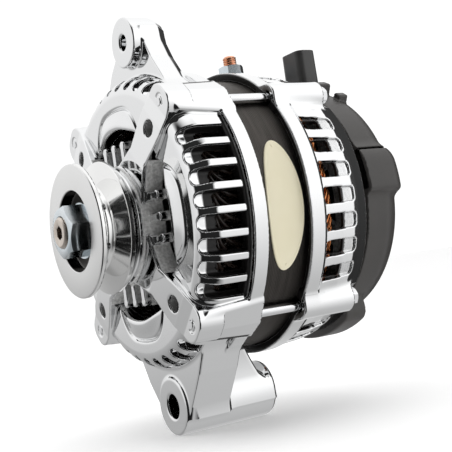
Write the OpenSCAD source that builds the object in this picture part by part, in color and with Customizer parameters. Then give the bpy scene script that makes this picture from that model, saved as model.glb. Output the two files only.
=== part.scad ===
// Car alternator with a V-belt pulley, pivot foot, adjuster ear and rear terminal cover.
// Millimetres. The rotor turns about the Y axis, the pulley faces -Y and +Z is up.
// The origin is where the rotor axis crosses the middle of the belt groove.

/* [Body] */
// Outer radius of the front housing rim
rim_r = 79; // [60:0.5:95]
// Outer radius of the slotted drum of the front housing
drum_r = 77; // [58:0.5:93]
// Outer radius of the rear housing
rear_r = 77.8; // [58:0.2:93]
// Outer radius of the stator core
core_r = 73; // [55:0.5:88]
// Radius of the circle through the four body bolts
bolt_ring_r = 75.7; // [58:0.1:92]
// Width of one side slot in the front housing
slot_w = 7.8; // [4:0.1:9]
// Width of one side vent in the rear housing
vent_w = 8.4; // [4:0.1:10]

/* [Spokes] */
// Width of each front spoke next to the hub
spoke_w = 17; // [10:0.5:24]
// Radius of the circle through the four tapped spoke holes
tap_ring_r = 60.5; // [50:0.5:66]
// Diameter of the tapped spoke holes
tap_d = 8.4; // [5:0.1:10]

/* [Mounting] */
// Height of the ear hole above the rotor axis
ear_z = 95.5; // [85:0.5:110]
// Sideways offset of the ear hole
ear_x = 7; // [-10:0.5:15]
// Diameter of the ear hole
ear_d = 8; // [6:0.1:12]
// Depth of the pivot bore below the rotor axis
foot_z = 97.2; // [88:0.2:115]
// Diameter of the pivot bore
foot_d = 12.7; // [8:0.1:14]
// Outer radius of the pivot boss
foot_r = 15.2; // [11:0.1:20]

/* [Pulley] */
// Outer radius of the pulley
pulley_r = 34.3; // [28:0.1:45]
// Width of the pulley along the rotor axis
pulley_w = 18.2; // [14:0.2:24]
// Width of the belt groove at the rim
groove_w = 12.8; // [9:0.1:17]
// Across-flats size of the pulley nut
nut_af = 24; // [19:0.5:30]

/* [Terminals] */
// Height of the output stud tip above the rotor axis
stud_tip_z = 92.7; // [86:0.1:100]
// Height of the plug socket rim above the rotor axis
socket_z = 86; // [78:0.5:95]

/* [Hidden] */
$fn = 96;
fit = 0.02;
shaft_r = 8.5;
rear_shaft_r = 7.5;
slip_r = 8;
front_y = 56.6;
back_y = 82.4;
core_y0 = 51;
core_y1 = 88;
spoke_y = 16;
face_y = 21.6;
wall_y = 28;
cover_y = 128;
cover_end = 155;
foot_y0 = 31.9;
foot_y1 = 88.6;
foot_rib_w = 30;
bolt_seat_y = 114.5;
ear_r = 13.3;
ear_y0 = 34.4;
ear_y1 = 49.4;
bolt_angles = [45, 135, 225, 315];
stud_x = -11;
stud_y = 106;
stud_r = 4;
stud_neck_r = 3.5;
stud_nut_af = 13;
socket_x = 18.5;
socket_y = 133.4;
socket_half_w = 9.2;
socket_half_d = 6.6;
socket_wall = 1.6;
vent_y1 = 105.4;
brush_y = [124.5, 132.5];
cover_nut_at = [[-17.2, 41.6], [-41.6, -17.2], [41.6, -17.2]];
diode_angles = [130, 148, 166, 184, 221, 239, 257, 275];
badge_half_l = 32.1;
badge_half_w = 10.7;
badge_y = 71;
rear_winding_y1 = 104;
hub_rib_pitch = 10.7;

// A profile of [radius, y] points turned about the rotor axis.
module lathe(points)
    rotate([-90, 0, 0])
    rotate_extrude()
    polygon(points);

// A plain ring about the rotor axis.
module ring(r0, r1, y0, y1)
    lathe([[r0, y0], [r1, y0], [r1, y1], [r0, y1]]);

// An outline drawn in x and z, standing between two y values.
module slab(y0, y1)
    translate([0, y1, 0])
    rotate([90, 0, 0])
    linear_extrude(height = y1 - y0)
    children();

// Turns a feature made along +X to an angle measured from +X towards +Z.
module at(a)
    rotate([0, -a, 0])
    children();

module rod(x, z, r, y0, y1)
    translate([x, y1, z])
    rotate([90, 0, 0])
    cylinder(r = r, h = y1 - y0);

module hex(x, z, af, y0, y1, turn = 0)
    translate([x, y1, z])
    rotate([90, 0, 0])
    rotate([0, 0, turn])
    cylinder(r = af / sqrt(3), h = y1 - y0, $fn = 6);

// A block centred on x = 0 of a feature made along +X.
module block(r0, r1, w, y0, y1)
    translate([r0, y0, -w / 2])
    cube([r1 - r0, y1 - y0, w]);

// ---------------------------------------------------------------- front housing

// The bowl, drum and rim.
module front_shell()
    lathe([
        [50, 19.4], [53, 19.4], [59, 21.9], [59.6, 22.9], [60.8, 22.9], [61.4, face_y],
        [68, face_y], [71, 22.6], [74, 25.2], [76.2, 29.4], [drum_r, 34],
        [drum_r, 47.4], [rim_r - 0.6, 47.4], [rim_r, 48], [rim_r, front_y - 0.6], [rim_r - 0.6, front_y],
        [core_r + fit, front_y], [core_r + fit, core_y0], [70.2, core_y0], [70.2, 32], [66, wall_y],
        [51.2, wall_y], [49.5, 26], [49.5, 20.4]]);

// Half outline of a spoke and its bolt boss, drawn along +X.
module spoke_outline() {
    polygon([
        [24, -spoke_w / 2], [48, -spoke_w / 2], [66, -11], [76, -8],
        [76, 8], [66, 11], [48, spoke_w / 2], [24, spoke_w / 2]]);
    translate([bolt_ring_r, 0])
    circle(r = 8);
}

module spokes()
    difference() {
        intersection() {
            union()
            for (a = bolt_angles)
                slab(10, front_y)
                rotate(a)
                spoke_outline();
            lathe([
                [20, spoke_y], [42, spoke_y], [66, 19.1], [73, 20.5], [84, 21.6],
                [84, front_y], [20, front_y]]);
        }
        lathe([
            [19, 27], [66, wall_y], [70.2, 32], [70.2, core_y0], [core_r + fit, core_y0],
            [core_r + fit, 60], [19, 60]]);
    }

module hub()
    lathe([
        [12.2, 11.5], [29.5, 11.5], [30.8, 13], [30.8, 29.5], [23.52, 29.5],
        [23.52, 13.5], [12.2, 13.5]]);

// Three short parallel ribs on the hub in each opening.
module hub_ribs()
    for (a = [0:90:270])
        for (i = [-1:1])
            at(a)
            translate([0, 0, i * hub_rib_pitch])
            block(28, 42.5, 3.5, 18.5, 27);

// Thick pads beside the bolts, sloping away at the front.
module front_pads()
    for (a = [45, 135, 225, 315])
        at(a)
        difference() {
            block(core_r + 0.5, 79.5, 21, 27, front_y);
            translate([71, 20, -20])
            rotate([0, 0, -52])
            cube([9, 20, 40]);
        }

// Front view of the ear, from its boss down to the drum.
module ear_outline()
    difference() {
        union() {
            translate([ear_x, ear_z])
            circle(r = ear_r);
            polygon([
                [ear_x - 12.5, ear_z + 4.5], [-23, 86], [-37, 66], [46, 58], [38.1, 67.7],
                [32.7, 75.2], [26.2, 83.7], [ear_x + 12.2, ear_z + 0.5], [ear_x + 10.6, ear_z + 8]]);
        }
        circle(r = drum_r - 3);
    }

// Side view of the ear: an even plate that thickens where it meets the rim.
module ear_side()
    translate([-50, 0, 0])
    rotate([90, 0, 90])
    linear_extrude(height = 110)
    polygon([
        [ear_y0, 55], [front_y - 0.5, 55], [front_y - 0.5, 66], [ear_y1 + 1.8, 76],
        [ear_y1 + 0.8, 84], [ear_y1 + 0.8, 120], [ear_y0, 120]]);

module ear()
    difference() {
        union() {
            intersection() {
                slab(ear_y0 - 2, front_y + 2)
                ear_outline();
                ear_side();
            }
            rod(ear_x, ear_z, ear_r, ear_y0 - 5.2, ear_y1);
        }
        rod(ear_x, ear_z, ear_d / 2, 20, 60);
        // Chamfer at the mouth of the hole.
        translate([ear_x, ear_y0 - 4, ear_z])
        rotate([90, 0, 0])
        cylinder(r1 = ear_d / 2, r2 = ear_d / 2 + 1.2, h = 1.2);
    }

module foot_web()
    slab(33.4, front_y)
    difference() {
        polygon([
            [-38, -60], [-33, -73.5], [-26.5, -86], [-16, -98], [16, -100], [18.4, -97.1],
            [25.4, -87.7], [30.8, -80], [35.1, -72.5], [40, -60]]);
        circle(r = drum_r - 3);
    }

// The middle of the web runs on behind the rim, clear of the stator, down to the end of the boss.
module foot_rib()
    difference() {
        translate([-foot_rib_w / 2, 0, 0])
        rotate([90, 0, 90])
        linear_extrude(height = foot_rib_w)
        polygon([[front_y - 6, -68], [68, -68], [84.6, -98], [front_y - 6, -98]]);
        ring(0, core_r + 1.4, 40, 90);
    }

module foot()
    difference() {
        union() {
            foot_web();
            foot_rib();
            rod(0, -foot_z, foot_r, foot_y0, foot_y1);
        }
        rod(0, -foot_z, foot_d / 2, 20, 100);
    }

// Side slots: one fan of eight on each side, shorter ones under the ear and the foot web.
module front_slots() {
    for (i = [0:7])
        for (s = [-2, 178])
            at(s + 8.5 * (i - 3.5))
            block(69.8, 95, slot_w, 15, 46.8);
    for (i = [0:7])
        for (s = [90, 270])
            at(s + 8.5 * (i - 3.5))
            block(69.8, 95, slot_w - 1.4, 15, 33.2);
}

module front_housing()
    color([0.86, 0.87, 0.88])
    difference() {
        union() {
            difference() {
                union() {
                    front_shell();
                    front_pads();
                }
                front_slots();
            }
            spokes();
            hub();
            hub_ribs();
            ear();
            foot();
        }
        for (a = bolt_angles) {
            at(a)
            translate([bolt_ring_r, 0, 0])
            rod(0, 0, 2.5 + fit, 10, 70);
            at(a)
            translate([tap_ring_r, 0, 0])
            rod(0, 0, tap_d / 2, 10, 27.6);
        }
        for (a = [0:90:270])
            at(a)
            translate([26.9, 0, 0])
            rod(0, 0, 1.5 + fit, 18, 30);
    }

// ---------------------------------------------------------------- rear housing

module rear_shell()
    lathe([
        [core_r + fit, back_y], [rear_r - 0.8, back_y], [rear_r, back_y + 0.8], [rear_r, 91],
        [76.6, 93], [76, 104], [74.6, 112], [72.4, 119], [70.4, 123], [62, 123],
        [62, 114], [67, 112], [70.4, 106], [70.4, core_y1], [core_r + fit, core_y1]]);

module rear_wall()
    difference() {
        ring(20, 64, 114.4, 119.6);
        for (a = [0:45:315])
            at(a)
            slab(110, 130)
            difference() {
                intersection() {
                    circle(r = 54);
                    polygon([[0, 0], [80, 26], [80, -26]]);
                }
                circle(r = 27);
            }
    }

// Bosses for the three cover studs.
module cover_bosses()
    for (p = cover_nut_at)
        rod(p[0], p[1], 6, 113, 121);

module rear_bosses()
    difference() {
        union()
        for (a = bolt_angles)
            at(a)
            union() {
                translate([bolt_ring_r, 0, 0])
                rod(0, 0, 7.5, back_y, bolt_seat_y);
                block(69, 76, 15, back_y, bolt_seat_y);
            }
        ring(0, core_r + fit, 70, core_y1);
        ring(0, 70.2, 80, 112);
    }

module rear_vents() {
    for (i = [0:6])
        for (s = [-1, 179, 269])
            at(s + 10.05 * (i - 3))
            block(65, 90, vent_w, 92.4, vent_y1);
    // Two vents are left out under the output stud.
    for (i = [0, 1, 2, 3, 6, 7])
        at(90 + 10.05 * (i - 3.5))
        block(65, 90, vent_w, 92.4, vent_y1);
}

// Shallow pockets that run on behind each vent.
module vent_pockets()
    difference() {
        union()
        for (i = [0:6])
            for (s = [-1, 179, 269])
                at(s + 10.05 * (i - 3))
                block(70, 90, vent_w - 1, 104.4, 112.6);
        ring(0, 73.2, 100, 125);
    }

// Hole for the insulating bush of the output stud, with its seam turned away from the wall's edges.
module stud_hole()
    translate([stud_x, stud_y, 60])
    rotate([0, 0, 40])
    cylinder(r = 5 + fit, h = 36);

// Pad under the output stud.
module stud_pad()
    slab(98, 114)
    polygon([[stud_x - 9, 71.5], [stud_x + 9, 71.5], [stud_x + 9, 78.6], [stud_x - 9, 78.6]]);

// Clearance for the output strap.
module strap_gap()
    translate([stud_x - 6, 101, 56])
    cube([12, 29, 8]);

module rear_hub()
    lathe([
        [17.5 + fit, 104], [22, 104], [24, 113], [24, 120], [10, 120],
        [10, 115.02], [17.5 + fit, 115.02]]);

module rear_housing()
    color([0.86, 0.87, 0.88])
    difference() {
        union() {
            difference() {
                rear_shell();
                rear_vents();
                vent_pockets();
                strap_gap();
            }
            difference() {
                rear_wall();
                strap_gap();
            }
            rear_bosses();
            cover_bosses();
            rear_hub();
            stud_pad();
        }
        for (a = bolt_angles)
            at(a)
            translate([bolt_ring_r, 0, 0])
            union() {
                rod(0, 0, 2.5 + fit, 70, 130);
                rod(0, 0, 6.4, bolt_seat_y, 130);
            }
        for (p = cover_nut_at)
            rod(p[0], p[1], 2.5 + fit, 100, 130);
        stud_hole();
    }

// ---------------------------------------------------------------- stator

module stator_core()
    color([0.24, 0.22, 0.21])
    difference() {
        ring(52.5, core_r, core_y0, core_y1);
        for (i = [0:35])
            at(i * 10)
            block(51, 64, 3.4, core_y0 - 1, core_y1 + 1);
    }

module end_turns(y0, y1)
    difference() {
        lathe([
            [56, y0], [54.5, y0 + 2], [54.5, y1 - 2], [56, y1], [66, y1],
            [68.5, y1 - 3], [68.5, y0 + 3], [66, y0]]);
        for (i = [0:35])
            at(i * 10 + 5)
            block(65.5, 70, 1.2, y0 - 1, y1 + 1);
    }

module front_winding()
    color([0.16, 0.13, 0.12])
    end_turns(33, core_y0);

module rear_winding()
    color([0.66, 0.36, 0.2])
    difference() {
        end_turns(core_y1, rear_winding_y1);
        // Pressed back where the output stud passes behind it.
        translate([stud_x - 11.3, 100.6, 50])
        cube([23, 10, 24]);
    }

module through_bolts()
    color([0.8, 0.82, 0.84])
    for (a = bolt_angles)
        at(a)
        translate([bolt_ring_r, 0, 0])
        union() {
            rod(0, 0, 2.5, 20.2, bolt_seat_y);
            rod(0, 0, 5.6, bolt_seat_y, bolt_seat_y + 1);
            hex(0, 0, 8.5, bolt_seat_y + 1, bolt_seat_y + 4.5);
        }

module badge()
    color([0.93, 0.9, 0.76])
    intersection() {
        ring(core_r + fit, core_r + 1, 50, 90);
        at(-2.3)
        translate([50, badge_y, 0])
        rotate([0, 90, 0])
        linear_extrude(height = 40)
        polygon([for (t = [0:6:354]) [badge_half_l * cos(t), badge_half_w * sin(t)]]);
    }

// ---------------------------------------------------------------- rear end

module rear_insulating_plate()
    color([0.06, 0.06, 0.065])
    difference() {
        ring(30, 61.6, 123, 125.4);
        for (p = cover_nut_at)
            rod(p[0], p[1], 2.5 + fit, 100, 130);
        translate([-17.5, 120, 26])
        cube([48, 10, 40]);
    }

module cover_form(r, y0, y1, c)
    lathe([
        [0, y0], [r, y0], [r, y1 - c], [r - c * 0.076, y1 - c * 0.617], [r - c * 0.293, y1 - c * 0.293],
        [r - c * 0.617, y1 - c * 0.076], [r - c, y1], [0, y1]]);

module cover_hump(d)
    intersection() {
        rotate([0, -10.5, 0])
        slab(cover_y, cover_end - 2 - d)
        intersection() {
            circle(r = 70.4 - d);
            translate([40, -13.5 + d])
            square([40, 27 - 2 * d]);
        }
        cover_form(70.5 - d, cover_y, cover_end - d, 12);
    }

module rear_cover()
    color([0.2, 0.2, 0.2])
    difference() {
        union() {
            cover_form(66, cover_y, cover_end, 15);
            cover_hump(0);
            // Lower lobe.
            intersection() {
                ring(60, 76.4, cover_y - 4, 139);
                rotate([0, 78, 0])
                slab(100, 150)
                translate([60, -26])
                square([20, 48]);
            }
            // Clip lugs.
            at(64)
            block(60, 73, 6, 131, 141);
            at(57)
            block(56, 69, 5, 142, 148);
        }
        difference() {
            cover_form(63.4, cover_y - 10, cover_end - 2.6, 13);
            for (p = cover_nut_at)
                rod(p[0], p[1], 8.2, 144, cover_end);
        }
        cover_hump(2.4);
        ring(0, 72, 120, 128.2);
        translate([socket_x - socket_half_w - 0.7, socket_y - socket_half_d - 0.7, 40])
        cube([2 * socket_half_w + 1.4, 2 * socket_half_d + 1.4, 50]);
        for (p = cover_nut_at)
            rod(p[0], p[1], 2.5 + fit, 120, 160);
        for (p = cover_nut_at)
            rod(p[0], p[1], 6.2, 148.5, 160);
        // Air slots in the back.
        for (a = [0:15:345])
            at(a + 7.5)
            block(17, 30, 3, 145, 160);
    }

module cover_nuts()
    color([0.72, 0.75, 0.8])
    for (p = cover_nut_at)
        union() {
            difference() {
                hex(p[0], p[1], 8, 148.52, 152.5);
                rod(p[0], p[1], 2.5, 140, 160);
            }
            rod(p[0], p[1], 2.5, 114.4, 153.4);
        }

module output_stud()
    color([0.85, 0.5, 0.32])
    union() {
        translate([stud_x, stud_y, 64])
        cylinder(r = stud_neck_r, h = 22.8);
        translate([stud_x, stud_y, 86.8])
        cylinder(r = stud_r, h = stud_tip_z - 88.3);
        translate([stud_x, stud_y, stud_tip_z - 1.5])
        cylinder(r1 = stud_r, r2 = stud_r - 1.5, h = 1.5);
        translate([stud_x, stud_y, 61.5])
        cylinder(r = 4.6, h = 2.5);
    }

module output_insulator()
    color([0.05, 0.05, 0.05])
    translate([stud_x, stud_y, 0])
    difference() {
        union() {
            translate([0, 0, 65])
            cylinder(r = 5, h = 14);
            translate([0, 0, 78.62])
            cylinder(r = 8.6, h = 1.4);
        }
        translate([0, 0, 50])
        cylinder(r = stud_neck_r + fit, h = 50);
    }

module output_nut()
    color([0.76, 0.82, 0.87])
    translate([stud_x, stud_y, 0])
    difference() {
        union() {
            translate([0, 0, 80.04])
            cylinder(r = 8, h = 1);
            translate([0, 0, 81.04])
            rotate([0, 0, 15])
            cylinder(r = stud_nut_af / sqrt(3), h = 5.5, $fn = 6);
        }
        translate([0, 0, 70])
        cylinder(r = stud_neck_r + fit, h = 30);
    }

module output_strap()
    color([0.8, 0.48, 0.3])
    union() {
        translate([stud_x - 4, 102, 60])
        cube([8, 25, 1.48]);
        translate([stud_x - 4, 125.42, 54])
        cube([8, 1.6, 7.4]);
    }

module plug_socket()
    color([0.18, 0.18, 0.18])
    difference() {
        translate([socket_x - socket_half_w, socket_y - socket_half_d, 56])
        cube([2 * socket_half_w, 2 * socket_half_d, socket_z - 56]);
        translate([socket_x - socket_half_w + socket_wall, socket_y - socket_half_d + socket_wall, socket_z - 11])
        cube([2 * (socket_half_w - socket_wall), 2 * (socket_half_d - socket_wall), 20]);
        for (i = [-1:1])
            translate([socket_x - 0.52 + 4 * i, socket_y - 1.32, 50])
            cube([1.04, 2.64, 40]);
    }

module plug_pins()
    color([0.78, 0.78, 0.76])
    for (i = [-1:1])
        translate([socket_x - 0.5 + 4 * i, socket_y - 1.3, 56.1])
        cube([1, 2.6, socket_z - 59]);

module voltage_regulator()
    color([0.12, 0.12, 0.13])
    union() {
        translate([-2, 127, 28])
        cube([32, 14, 27]);
        for (i = [0:5])
            translate([i * 5, 141, 29])
            cube([2, 5, 25]);
    }

module rectifier_plate()
    color([0.62, 0.63, 0.65])
    difference() {
        ring(31, 60, 127.04, 130.4);
        translate([-6, 120, 20])
        cube([52, 20, 60]);
        for (p = cover_nut_at)
            rod(p[0], p[1], 6, 120, 140);
        for (a = diode_angles)
            at(a)
            translate([46, 0, 0])
            rod(0, 0, 5.5 + fit, 120, 140);
    }

module diodes()
    color([0.35, 0.34, 0.33])
    for (a = diode_angles)
        at(a)
        translate([46, 0, 0])
        union() {
            rod(0, 0, 5.5, 127.04, 131.6);
            rod(0, 0, 1, 131.6, 138);
        }

module brush_holder()
    color([0.1, 0.1, 0.1])
    difference() {
        translate([-5, 121, 10.5])
        cube([10, 16, 17.4]);
        for (y = brush_y)
            translate([-3.05, y - 2.55, 5])
            cube([6.1, 5.1, 20.9]);
    }

module brush(y)
    color([0.2, 0.2, 0.21])
    translate([-3, y - 2.5, slip_r + 0.05])
    cube([6, 5, 11.4]);

module inner_brush()
    brush(brush_y[0]);

module outer_brush()
    brush(brush_y[1]);

// A pressure spring drawn as a short stack of rings on a core sleeve.
module brush_spring(y)
    color([0.7, 0.7, 0.68])
    translate([0, y, slip_r + 11.46])
    difference() {
        union() {
            cylinder(r = 1.7, h = 6.4);
            for (i = [0:4])
                translate([0, 0, i * 1.45])
                cylinder(r = 2.1, h = 0.6);
        }
        translate([0, 0, -1])
        cylinder(r = 1.3, h = 9);
    }

module inner_brush_spring()
    brush_spring(brush_y[0]);

module outer_brush_spring()
    brush_spring(brush_y[1]);

// ---------------------------------------------------------------- bearings

module bearing_race(r0, r1, rb, rp, y, h)
    color([0.7, 0.71, 0.72])
    difference() {
        ring(r0, r1, y - h / 2, y + h / 2);
        rotate([-90, 0, 0])
        rotate_extrude()
        translate([rp, y])
        circle(r = rb, $fn = 48);
    }

module balls(n, rb, rp, y)
    color([0.75, 0.76, 0.78])
    for (i = [0:n - 1])
        at(i * 360 / n)
        translate([rp, y, 0])
        sphere(r = rb, $fn = 48);

module cage(n, rb, rp, y, w)
    color([0.7, 0.6, 0.35])
    difference() {
        ring(rp - 0.7, rp + 0.7, y - w / 2, y + w / 2);
        for (i = [0:n - 1])
            at(i * 360 / n)
            translate([0, y, 0])
            rotate([0, 90, 0])
            cylinder(r = rb + 0.1, h = rp + 4, $fn = 48);
    }

module front_outer_race()
    bearing_race(19, 23.5, 4.05, 16, 20.5, 14);

module front_inner_race()
    bearing_race(shaft_r + fit, 13, 4.05, 16, 20.5, 14);

module front_balls()
    balls(8, 4, 16, 20.5);

module front_ball_cage()
    cage(8, 4, 16, 20.5, 10.4);

module rear_outer_race()
    bearing_race(14.5, 17.5, 3.05, 12.5, 109.5, 11);

module rear_inner_race()
    bearing_race(rear_shaft_r + fit, 10.5, 3.05, 12.5, 109.5, 11);

module rear_balls()
    balls(8, 3, 12.5, 109.5);

module rear_ball_cage()
    cage(8, 3, 12.5, 109.5, 8);

module bearing_retainer()
    color([0.55, 0.56, 0.58])
    difference() {
        ring(18.5, 30.4, 29.52, 31.2);
        for (a = [0:90:270])
            at(a)
            translate([26.9, 0, 0])
            rod(0, 0, 1.5 + fit, 20, 35);
    }

module retainer_screws()
    color([0.6, 0.6, 0.58])
    for (a = [0:90:270])
        at(a)
        translate([26.9, 0, 0])
        difference() {
            union() {
                rod(0, 0, 1.5, 19, 31.22);
                rod(0, 0, 2.8, 31.22, 33);
            }
            rod(0, 0, 1, 32, 34);
        }

// ---------------------------------------------------------------- rotor

module shaft()
    color([0.66, 0.68, 0.7])
    difference() {
        lathe([
            [0, -17.4], [7, -17.4], [7.9, -16.5], [7.9, -4], [shaft_r, -3.4],
            [shaft_r, 28], [10, 28], [10, 103], [rear_shaft_r, 103], [rear_shaft_r, 116],
            [5, 116], [5, 138], [0, 138]]);
        hex(0, 0, 6.4, -20, -10.5);
    }

// Six claws that reach across the coil, narrowing towards their tips.
module claws()
    for (i = [0:5])
        at(i * 60)
        intersection() {
            ring(41, 51.9, 47, 92);
            translate([35, 47, 0])
            rotate([90, 0, 90])
            linear_extrude(height = 20)
            polygon([[0, -12.5], [12, -12.5], [41, -6], [41, 6], [12, 12.5], [0, 12.5]]);
        }

module pole_half()
    union() {
        lathe([
            [10 + fit, 47], [34, 47], [46, 49], [46, 57], [38, 58], [24, 58],
            [24, 68.4], [10 + fit, 68.4]]);
        claws();
    }

module pole_gaps()
    for (i = [0:5])
        at(i * 60 + 30)
        block(37, 60, 20, 40, 60);

module front_claw_pole()
    color([0.3, 0.3, 0.31])
    difference() {
        pole_half();
        pole_gaps();
    }

module rear_claw_pole()
    color([0.3, 0.3, 0.31])
    at(30)
    translate([0, 137, 0])
    rotate([0, 0, 180])
    difference() {
        pole_half();
        pole_gaps();
    }

module field_coil()
    color([0.62, 0.33, 0.18])
    ring(24.1, 37, 58.6, 78.4);

module fan(y, s)
    translate([0, y, 0])
    rotate([0, 0, s > 0 ? 0 : 180])
    union() {
        ring(10 + fit, 49, 0, 1.6);
        for (i = [0:10])
            at(i * 32.7)
            translate([34, 1.6, 0])
            rotate([0, 40, 0])
            translate([0, -0.1, -0.8])
            cube([18, 9.5, 1.6]);
    }

module front_fan()
    color([0.2, 0.2, 0.21])
    fan(46.9, -1);

module rear_fan()
    color([0.2, 0.2, 0.21])
    fan(90.1, 1);

module slip_ring_sleeve()
    color([0.2, 0.1, 0.07])
    ring(5 + fit, 6.6, 117, 137);

module slip_rings()
    color([0.8, 0.5, 0.3])
    for (y = brush_y)
        ring(6.6 + fit, slip_r, y - 3.2, y + 3.2);

module pulley_spacer()
    color([0.7, 0.72, 0.74])
    ring(shaft_r + fit, 12, 9.12, 13.46);

module pulley()
    color([0.83, 0.84, 0.85])
    lathe([
        [shaft_r + fit, -2.6], [20.7, -2.6], [20.7, -pulley_w / 2], [pulley_r - 0.5, -pulley_w / 2],
        [pulley_r, 0.5 - pulley_w / 2], [pulley_r, -groove_w / 2], [22.6, -2.4], [22.6, 2.4],
        [pulley_r, groove_w / 2], [pulley_r, pulley_w / 2 - 0.5], [pulley_r - 0.5, pulley_w / 2],
        [shaft_r + fit, pulley_w / 2]]);

module pulley_washer()
    color([0.75, 0.78, 0.82])
    ring(shaft_r + fit, 14.6, -5.1, -2.62);

module pulley_nut()
    color([0.76, 0.82, 0.86])
    difference() {
        hex(0, 0, nut_af, -16, -5.12, 12);
        ring(0, 7.9 + fit, -20, 0);
    }

front_housing();
rear_housing();
stator_core();
front_winding();
rear_winding();
through_bolts();
badge();
rear_insulating_plate();
rear_cover();
cover_nuts();
output_stud();
output_nut();
output_insulator();
output_strap();
plug_socket();
plug_pins();
voltage_regulator();
rectifier_plate();
diodes();
brush_holder();
inner_brush();
outer_brush();
inner_brush_spring();
outer_brush_spring();
front_outer_race();
front_inner_race();
front_balls();
front_ball_cage();
bearing_retainer();
retainer_screws();
rear_outer_race();
rear_inner_race();
rear_balls();
rear_ball_cage();
shaft();
front_claw_pole();
rear_claw_pole();
field_coil();
front_fan();
rear_fan();
slip_ring_sleeve();
slip_rings();
pulley_spacer();
pulley();
pulley_washer();
pulley_nut();
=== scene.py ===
"""Looks of the car alternator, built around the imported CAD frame.

Shapes are worked out in millimetres in the part's own frame (rotor axis along Y, pulley towards -Y, +Z up)
and turned into metres when a mesh is made. Castings and mouldings are signed distance fields with rounded
unions and cuts; turned and bent parts are swept profiles.
"""

from concurrent.futures import ThreadPoolExecutor
from math import asin, ceil, copysign, cos, pi, radians, sin, sqrt

import bmesh
import bpy
import numpy as np
import openvdb as vdb
from mathutils import Matrix, Vector


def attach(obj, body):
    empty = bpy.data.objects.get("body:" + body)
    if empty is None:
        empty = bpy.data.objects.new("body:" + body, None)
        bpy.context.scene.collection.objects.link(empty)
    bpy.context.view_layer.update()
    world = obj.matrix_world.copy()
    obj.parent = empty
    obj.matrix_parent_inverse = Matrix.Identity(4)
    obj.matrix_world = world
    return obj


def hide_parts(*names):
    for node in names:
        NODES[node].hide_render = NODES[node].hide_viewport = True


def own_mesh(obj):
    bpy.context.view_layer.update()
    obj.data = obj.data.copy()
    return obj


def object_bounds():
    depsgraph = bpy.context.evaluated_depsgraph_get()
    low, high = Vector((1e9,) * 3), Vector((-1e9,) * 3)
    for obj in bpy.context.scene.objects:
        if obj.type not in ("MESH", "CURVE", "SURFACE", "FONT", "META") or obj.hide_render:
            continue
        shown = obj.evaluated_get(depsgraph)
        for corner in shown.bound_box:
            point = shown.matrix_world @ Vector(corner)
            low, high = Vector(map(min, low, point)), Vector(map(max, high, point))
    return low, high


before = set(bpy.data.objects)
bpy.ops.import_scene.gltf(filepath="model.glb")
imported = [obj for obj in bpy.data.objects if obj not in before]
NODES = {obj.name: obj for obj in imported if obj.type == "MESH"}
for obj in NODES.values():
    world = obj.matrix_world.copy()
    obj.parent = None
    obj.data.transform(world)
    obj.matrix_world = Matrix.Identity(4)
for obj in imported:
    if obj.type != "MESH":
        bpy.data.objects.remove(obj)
CAD_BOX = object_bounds()
MM = 0.001

# ------------------------ driving sizes, millimetres

RIM_R = 79.0
DRUM_R = 77.0
REAR_R = 77.8
CORE_R = 73.0
CAVITY_R = 70.2
BOLT_RING_R = 75.7
TAP_RING_R = 60.5
HUB_R = 30.8
HUB_RIB_PITCH = 10.7
WINDOW_R = 49.5
FACE_Y = 21.6
SHOULDER_R = 67.0
SHOULDER_Y = 34.0
PAD_HALF = 10.0
PAD_SPLAY = 0.11
PAD_Y = 24.0
SPOKE_Y = 16.0
FRONT_Y = 56.6
BACK_Y = 82.4
CORE_Y0 = 51.0
CORE_Y1 = 88.0
EAR = (7.0, 95.5)
EAR_R = 13.3
FOOT_Z = -97.2
FOOT_R = 15.2
FOOT_BORE_R = 6.35
FOOT_Y = (31.9, 88.6)
SLOT_PITCH = 8.5
SLOT_HALF_W = 3.9
SLOT_FRONT = 21.8
VENT_PITCH = 10.05
VENT_HALF_W = 4.2
PULLEY_R = 34.3
PULLEY_HALF_W = 9.1
STUD = (-11.0, 106.0)
BADGE_Y = 71.0
SOCKET = (18.5, 133.4)
SOCKET_Z = 86.0
SOCKET_HALF = (9.2, 6.6)
COVER_END = 155.0
COVER_NUTS = ((-17.2, 41.6), (-41.6, -17.2), (41.6, -17.2))
SPOKE_AT = (20.0, 27.8, 37.6, 44.0, 50.6, 55.0, 64.0, 72.0, 78.0)
SPOKE_HALF = (19.0, 15.2, 10.9, 8.3, 9.1, 9.8, 10.6, 10.2, 9.6)
PLATE_TONE = (0.84, 0.845, 0.85)
SHADOW_TONE = (0.012, 0.011, 0.011)
LENS = 74.17434
TENT_OPENING_AZ = 50.0
TENT_OPENING = (0.70, 0.88)


# ------------------------ distance field tools

def smin(a, b, k):
    """Union of two fields with a fillet about k across."""
    h = np.maximum(k - np.abs(a - b), 0.0) / k
    return np.minimum(a, b) - h * h * (k * 0.25)


def smax(a, b, k):
    """Intersection of two fields with a rounded edge."""
    return -smin(-a, -b, k)


def cut(body, hole, k):
    """Takes a hole out of a body, with a rounded mouth."""
    return smax(body, -hole, k)


def smoothstep(a, b, t):
    s = np.clip((t - a) / (b - a), 0.0, 1.0)
    return s * s * (3.0 - 2.0 * s)


def between(t, low, high):
    """Distance to the span from low to high."""
    return np.abs(t - (low + high) / 2) - (high - low) / 2


def rounded(a, b, r):
    """Intersection of two fields whose edge is an exact arc of radius r."""
    return np.minimum(np.maximum(a, b) + r, 0.0) + np.hypot(np.maximum(a + r, 0), np.maximum(b + r, 0)) - r


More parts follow.
